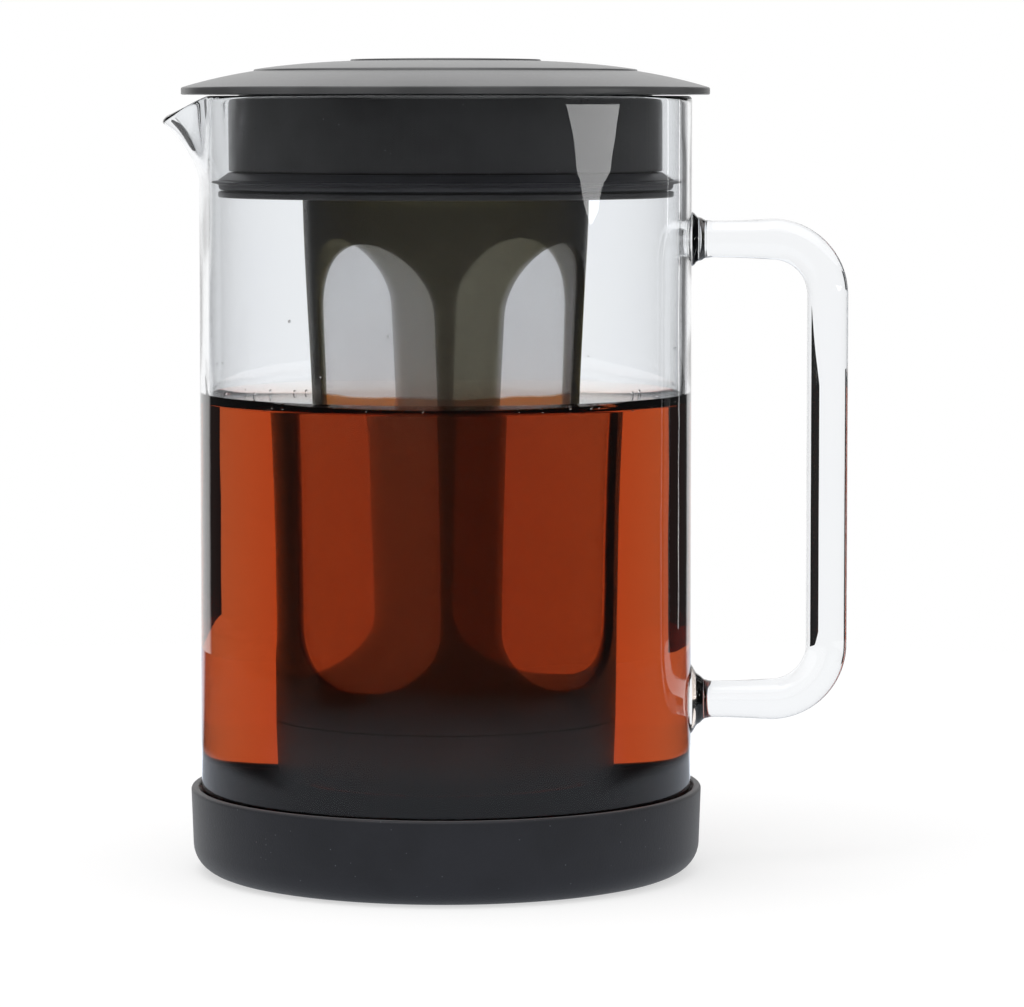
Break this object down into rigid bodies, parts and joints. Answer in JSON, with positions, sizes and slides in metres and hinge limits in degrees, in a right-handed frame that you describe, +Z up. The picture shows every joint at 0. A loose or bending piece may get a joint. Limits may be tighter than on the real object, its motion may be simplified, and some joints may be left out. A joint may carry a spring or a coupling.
{
  "type": "cold brew coffee maker",
  "caption": "Glass carafe with a pouring lip and bent-rod handle, in a soft boot, with a sealed plug lid that carries a long windowed mesh filter for steeping coffee in cold water.",
  "frame": {"origin": "on the carafe's axis, at the centre of the boot's underside, which the object stands on", "axes": "+Z up along the carafe's axis; +X towards the handle, so the spout points along -X; +Y to the back as pictured"},
  "size_m": [0.1549, 0.1194, 0.1842],
  "materials": {
    "clear_glass": "clear, polished borosilicate glass",
    "boot_silicone": "matte, fine grained",
    "lid_plastic": "satin, finely turned rings on top",
    "plug_plastic": "smooth, half gloss",
    "seal_silicone": "smooth, half matte",
    "smoke_plastic": "translucent smoked plastic, half gloss",
    "filter_weave": "very fine woven mesh, see-through"
  },
  "bodies": {
    "boot": {"boot": "boot_silicone"},
    "carafe": {"carafe": "clear_glass", "carafe_handle": "clear_glass"},
    "filter": {"filter_frame": "smoke_plastic", "filter_mesh": "filter_weave"},
    "filter_cap": {"filter_cap": "smoke_plastic"},
    "lid_seal": {"lid_seal": "seal_silicone"},
    "lid": {"lid_plug": "plug_plastic", "lid_top": "lid_plastic"}
  },
  "joints": [
    {"name": "carafe_lift", "type": "slide", "parent": "boot", "child": "carafe", "axis": [0, 0, 1], "range_m": [0, 0.025]},
    {"name": "filter_lift", "type": "slide", "parent": "carafe", "child": "filter", "axis": [0, 0, 1], "range_m": [0, 0.2]},
    {"name": "cap_turn", "type": "hinge", "parent": "filter", "child": "filter_cap", "pos_m": [0, 0, 0.0347], "axis": [0, 0, 1], "range_deg": [0, 60]},
    {"name": "lid_lift", "type": "slide", "parent": "filter", "child": "lid_seal", "axis": [0, 0, 1], "range_m": [0, 0.08]},
    {"name": "lid_turn", "type": "hinge", "parent": "lid_seal", "child": "lid", "pos_m": [0, 0, 0.176], "axis": [0, 0, 1], "range_deg": [0, 40]}
  ]
}
